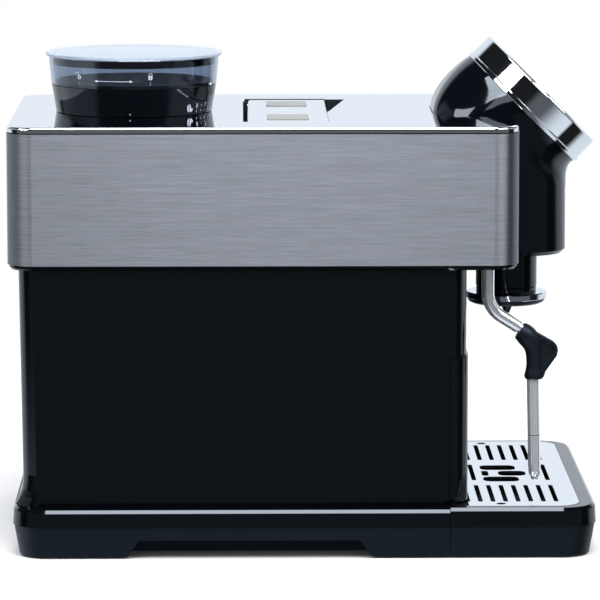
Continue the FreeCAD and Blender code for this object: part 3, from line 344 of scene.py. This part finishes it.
def bean():
    left = oval(-0.3, 0.0, 1.45, 3.0, 12, 98, 262, 14)
    right = oval(0.3, 0.0, 1.45, 3.0, 12, -82, 82, 14)
    small = oval(2.3, -1.5, 1.1, 1.75, -38, 98, 262, 12) + oval(2.6, -1.3, 1.1, 1.75, -38, -82, 82, 12)
    return left + right + small


def eight():
    return arc(0.0, 0.85, 0.7, 0, 360, 0.3, 14) + arc(0.0, -0.85, 0.85, 0, 360, 0.3, 14)


def seven():
    return strip([(-0.85, 1.6), (0.85, 1.6), (-0.2, -1.65)], 0.32)


def cup():
    bowl = strip([(-2.6, 1.6), (-2.2, -1.6), (1.4, -1.6), (1.8, 1.6), (-2.6, 1.6)], 0.45)
    return bowl + arc(1.9, 0.2, 1.1, -80, 80, 0.4) + strip([(-3.2, -2.6), (2.4, -2.6)], 0.45)


def drop():
    return arc(0.0, -0.8, 1.4, -210, 30, 0.45) + strip([(-1.2, -0.1), (0.0, 2.6), (1.2, -0.1)], 0.45)


def puff():
    shapes = []
    for x in (-1.6, 0.0, 1.6):
        shapes += strip([(x, -2.4), (x + 0.6, -1.2), (x - 0.5, 0.2), (x + 0.5, 1.4), (x, 2.4)], 0.42)
    return shapes


MM = 1000.0
MARK_TOP = 0.06
MARK_FOOT = -0.04


def new_piece(name, body, bm, look):
    """Object of the finished bmesh, with its look, riding on a body."""
    bmesh.ops.recalc_face_normals(bm, faces=bm.faces)
    made = bpy.data.meshes.new(name)
    bm.to_mesh(made)
    bm.free()
    made.materials.append(look)
    piece = bpy.data.objects.new(name, made)
    bpy.context.scene.collection.objects.link(piece)
    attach(piece, body)
    return piece


def printed(name, body, shapes, place, look):
    """Thin raised marks: a face and short walls for every flat shape, put in place by place(x, y, height)."""
    bm = bmesh.new()
    for shape in shapes:
        top = [bm.verts.new(Vector(place(x, y, MARK_TOP)) / MM) for x, y in shape]
        low = [bm.verts.new(Vector(place(x, y, MARK_FOOT)) / MM) for x, y in shape]
        bm.faces.new(top)
        bm.faces.new(low[::-1])
        for k in range(len(shape)):
            nxt = (k + 1) % len(shape)
            bm.faces.new((low[k], low[nxt], top[nxt], top[k]))
    new_piece(name, body, bm, look)


HOPPER_Y = 129.2
# lower radius and height, then upper radius and height
BOWL_CONE = (62.5, 340.0, 64.5, 360.9)
COLLAR_CONE = (59.15, 319.2, 62.45, 339.6)
INK = moulded("ink_white", (0.34, 0.375, 0.43), 0.4, 0.5)
INK_DIM = moulded("ink_dim", (0.30, 0.33, 0.38), 0.4, 0.5)


def on_cone(low_radius, low_z, high_radius, high_z, angle, z):
    """Place marks round the hopper: x runs along the surface from an angle, y up from a height."""

    def place(x, y, height):
        radius = low_radius + (high_radius - low_radius) * (z + y - low_z) / (high_z - low_z) + height
        turn = math.radians(angle) + x / low_radius
        return -radius * math.cos(turn), HOPPER_Y - radius * math.sin(turn), z + y

    return place


def on_bowl(angle, z):
    """Place on the bowl's outside, at an angle from the left side."""
    return on_cone(*BOWL_CONE, angle, z)


def on_collar(angle, z):
    """Place on the collar's outside, at an angle from the left side."""
    return on_cone(*COLLAR_CONE, angle, z)


printed("mark_unlocked", "hopper", padlock(True), on_bowl(-38.6, 348.3), INK)
printed("mark_locked", "hopper", padlock(False), on_bowl(12.6, 348.6), INK)
printed("mark_turn", "hopper", double_arrow(29.8), on_bowl(-12.8, 346.0), INK)
printed("mark_bean", "collar", bean(), on_collar(44.8, 324.2), INK)
DIGIT_STEP = 11.1
digits = eight() + moved(seven(), DIGIT_STEP, 0)
for k in range(3):
    digits += moved(strip([(-0.45, 0), (0.45, 0)], 0.4), 5.5 + DIGIT_STEP * k, 0)
for k in range(6):
    digits += moved(strip([(0, -3.4), (0, -5.2 + 0.6 * (k % 2))], 0.32), DIGIT_STEP / 2 * k, 0)
printed("mark_steps", "collar", digits, on_collar(53.1, 325.8), INK)
printed("mark_index", "collar", oval(0, 0, 0.45, 0.45), on_collar(-1.5, 321.2), INK_DIM)

# ------------------------------------------------------------------ turned pieces


def ring_of(name, body, profile, slot_name, axis, segments=128):
    """Solid of revolution from (radius, height) points in mm, on the axis that a matrix gives."""
    bm = bmesh.new()
    loops = []
    for k in range(segments):
        t = math.tau * k / segments
        points = [axis @ Vector((r * math.cos(t), r * math.sin(t), z)) for r, z in profile]
        loops.append([bm.verts.new(point / MM) for point in points])
    for k in range(segments):
        here, there = loops[k], loops[(k + 1) % segments]
        for m in range(len(profile)):
            nxt = (m + 1) % len(profile)
            bm.faces.new((here[m], there[m], there[nxt], here[nxt])).smooth = True
    return new_piece(name, body, bm, LOOKS[slot_name])


SEAL = [(60.85, 355.6), (61.25, 355.4), (61.5, 356.0), (61.3, 356.9), (61.5, 357.8), (61.3, 358.7)]
SEAL += [(61.5, 359.6), (61.3, 360.8), (60.85, 361.0)]
ring_of("lid_seal", "bean_lid", SEAL, "rubber", Matrix.Translation((0, HOPPER_Y, 0)))

# dark line where the tip screws onto the steam tube, which leans by a little over a degree
SEAM_CENTRE = (-86.0, -170.69, 83.1)
TUBE_LEAN = math.radians(-1.37)
TIP_SEAM = Matrix.Translation(SEAM_CENTRE) @ Matrix.Rotation(TUBE_LEAN, 4, "X")
SEAM_LINE = [(4.6, -0.22), (4.8, -0.22), (4.83, 0.0), (4.8, 0.22), (4.6, 0.22)]
ring_of("tip_seam", "wand", SEAM_LINE, "rubber", TIP_SEAM, 48)

POD_CENTRE = (0, -166.0, 320.4)
POD_TILT = math.radians(45.0)
POD = Matrix.Translation(POD_CENTRE) @ Matrix.Rotation(POD_TILT, 4, "X")
DIAL_TOP = 20.65
DIAL_OUTER = 56.3
DIAL_INNER = 44.4
DIAL_ROUND = 1.2


def corner(centre_r, centre_z, radius, start, end, count=8):
    """Points along a rounded corner of a profile."""
    turns = [math.radians(start + (end - start) * k / count) for k in range(count + 1)]
    return [(centre_r + radius * math.cos(t), centre_z + radius * math.sin(t)) for t in turns]


# edges close to each corner keep the flat faces flat under smooth shading
DIAL = [(DIAL_INNER, 3.7), (44.45, 3.5), (44.6, 3.45), (56.0, 3.45), (56.2, 3.5)]
DIAL += [(DIAL_OUTER, 3.65), (DIAL_OUTER, 3.8), (DIAL_OUTER, 19.3)]
DIAL += corner(DIAL_OUTER - DIAL_ROUND, DIAL_TOP - DIAL_ROUND, DIAL_ROUND, 0, 90)
DIAL += [(54.9, DIAL_TOP), (45.8, DIAL_TOP)]
DIAL += corner(DIAL_INNER + DIAL_ROUND, DIAL_TOP - DIAL_ROUND, DIAL_ROUND, 90, 180)
DIAL += [(DIAL_INNER, 19.3)]
dial = ring_of("dial_turned", "dial", DIAL, "chrome", POD, 256)
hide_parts("dial_ring")

GLASS_TOP = 19.2
SIGN_RADIUS = 31.0
TICK_END = 41.0
TICK_START = 39.2
LONG_TICK_START = 37.6


def on_glass(angle, radius):
    """Place on the display glass, upright at an angle round the button."""
    centre = Matrix.Rotation(math.radians(angle), 4, "Z") @ Vector((0, radius, 0))
    centre.z = GLASS_TOP

    def place(x, y, height):
        return POD @ (centre + Vector((x, y, height)))

    return place


for number, (angle, sign) in enumerate(((62, cup()), (22, drop()), (-22, puff()), (-62, bean()))):
    printed(f"mark_display_{number}", "machine", sign, on_glass(angle, SIGN_RADIUS), INK)
ticks = []
for k in range(25):
    t = math.radians(-120 + 10 * k + 90)
    inner = TICK_START if k % 4 else LONG_TICK_START
    ends = [(inner * math.cos(t), inner * math.sin(t)), (TICK_END * math.cos(t), TICK_END * math.sin(t))]
    ticks += strip(ends, 0.4)
printed("mark_ticks", "machine", ticks, on_glass(0, 0.0), INK_DIM)

# --------------------------------------------------------------------- studio


def floor():
    """Light grey ground that takes the shadow; reflections see the world's own floor instead."""
    s = Surface("floor")
    grain = s.noise(30.0, 3.0)
    s.finish(Base_Color=s.blend(grain, (0.50, 0.505, 0.515), (0.52, 0.525, 0.535)), Roughness=0.6)
    mesh = bpy.data.meshes.new("floor")
    reach = 0.95
    rim = [(-reach, -reach, 0), (reach, -reach, 0), (reach, reach, 0), (-reach, reach, 0)]
    mesh.from_pydata(rim, [], [(0, 1, 2, 3)])
    mesh.materials.append(s.material)
    made = bpy.data.objects.new("floor", mesh)
    made.visible_glossy = False
    bpy.context.scene.collection.objects.link(made)


def softbox(name, centre, target, size, radiance, reflected=True):
    """Rectangular light aimed at a target, with the same brightness per area at any size."""
    light = bpy.data.lights.new(name, "AREA")
    light.shape = "RECTANGLE"
    light.size, light.size_y = size
    light.energy = radiance * math.pi * size[0] * size[1]
    made = bpy.data.objects.new(name, light)
    made.location = centre
    made.rotation_mode = "QUATERNION"
    made.rotation_quaternion = (Vector(target) - Vector(centre)).to_track_quat("-Z", "Y")
    made.visible_camera = False
    made.visible_glossy = reflected
    bpy.context.scene.collection.objects.link(made)


def world():
    """White to camera and diffuse rays. Glossy rays see a studio: white behind, dark sides, bright floor."""
    made = bpy.data.worlds.new("studio")
    made.use_nodes = True
    tree = made.node_tree
    nodes, links = tree.nodes, tree.links
    nodes.clear()

    def smooth(value, start, end, low, high):
        node = nodes.new("ShaderNodeMapRange")
        node.interpolation_type = "SMOOTHSTEP"
        for socket, given in zip(node.inputs, (value, start, end, low, high)):
            if isinstance(given, bpy.types.NodeSocket):
                links.new(given, socket)
            else:
                socket.default_value = given
        return node.outputs["Result"]

    def mixed(share, a, b):
        node = nodes.new("ShaderNodeMix")
        node.data_type = "FLOAT"
        for socket, given in ((node.inputs[0], share), (node.inputs[2], a), (node.inputs[3], b)):
            if isinstance(given, bpy.types.NodeSocket):
                links.new(given, socket)
            else:
                socket.default_value = given
        return node.outputs[0]

    place = nodes.new("ShaderNodeTexCoord")
    parts = nodes.new("ShaderNodeSeparateXYZ")
    links.new(place.outputs["Generated"], parts.inputs[0])
    x, y, z = parts.outputs["X"], parts.outputs["Y"], parts.outputs["Z"]
    near_floor = smooth(z, -0.62, -0.24, 0.95, 0.13)
    near_side = smooth(z, -0.05, 0.12, near_floor, 0.015)
    camera_side = smooth(x, -0.40, -0.30, near_side, 0.015)
    behind_low = smooth(x, 0.06, 0.38, camera_side, 0.92)
    behind_high = smooth(x, 0.64, 0.80, camera_side, 1.0)
    upright = mixed(smooth(z, -0.05, 0.22, 0.0, 1.0), behind_low, behind_high)
    beside = mixed(smooth(z, -0.24, -0.16, 1.0, 0.0), upright, 1.4)
    toward_y = mixed(smooth(y, 0.72, 0.84, 0.0, 1.0), upright, beside)
    low_sky = mixed(smooth(z, 0.50, 0.66, 1.0, 0.0), toward_y, 0.45)
    above_level = mixed(smooth(z, 0.06, 0.20, 0.0, 1.0), toward_y, low_sky)
    toward_rear = smooth(y, 0.70, 0.84, 0.0, 1.0)
    toward_front = smooth(y, -0.84, -0.70, 1.0, 0.0)
    glossy_light = mixed(toward_rear, mixed(toward_front, toward_y, above_level), above_level)
    path = nodes.new("ShaderNodeLightPath")
    strength = mixed(path.outputs["Is Glossy Ray"], 1.0, glossy_light)
    back = nodes.new("ShaderNodeBackground")
    tint = nodes.new("ShaderNodeMix")
    tint.data_type = "RGBA"
    links.new(path.outputs["Is Glossy Ray"], tint.inputs[0])
    tint.inputs[6].default_value = (1.0, 1.0, 1.0, 1.0)
    tint.inputs[7].default_value = (0.86, 0.93, 1.0, 1.0)
    links.new(tint.outputs[2], back.inputs["Color"])
    links.new(strength, back.inputs["Strength"])
    out = nodes.new("ShaderNodeOutputWorld")
    links.new(back.outputs[0], out.inputs[0])
    bpy.context.scene.world = made


CAMERA_LENS = 246.6
CAMERA_PLACE = (-3.115, 0.0487, 0.615)
CAMERA_AIM = (0.98996, -0.01448, -0.14052)


def camera():
    data = bpy.data.cameras.new("camera")
    data.lens = CAMERA_LENS
    data.sensor_width = 36.0
    data.clip_start, data.clip_end = 0.05, 60.0
    made = bpy.data.objects.new("camera", data)
    made.location = CAMERA_PLACE
    made.rotation_mode = "QUATERNION"
    made.rotation_quaternion = Vector(CAMERA_AIM).to_track_quat("-Z", "Y")
    bpy.context.scene.collection.objects.link(made)
    bpy.context.scene.camera = made


camera()
floor()
world()
softbox("overhead", (-0.8, 0.0, 1.65), (-0.8, 0.0, 0.0), (1.4, 0.8), 12.0)
softbox("overhead_near", (-1.5, 0.0, 1.5), (0.0, 0.0, 0.3), (0.5, 0.6), 3.0)
softbox("camera_left", (-1.12, 1.12, 1.42), (0.0, 0.0, 0.32), (1.1, 0.6), 9.0)
softbox("camera_right", (-1.1, -1.15, 1.55), (0.0, 0.0, 0.25), (1.2, 0.6), 14.0)
softbox("floor_fill", (0.1, 0.0, 2.4), (0.1, 0.0, 0.0), (3.4, 3.0), 1.9, False)

scene = bpy.context.scene
scene.view_settings.view_transform = "Standard"
scene.view_settings.look = "None"
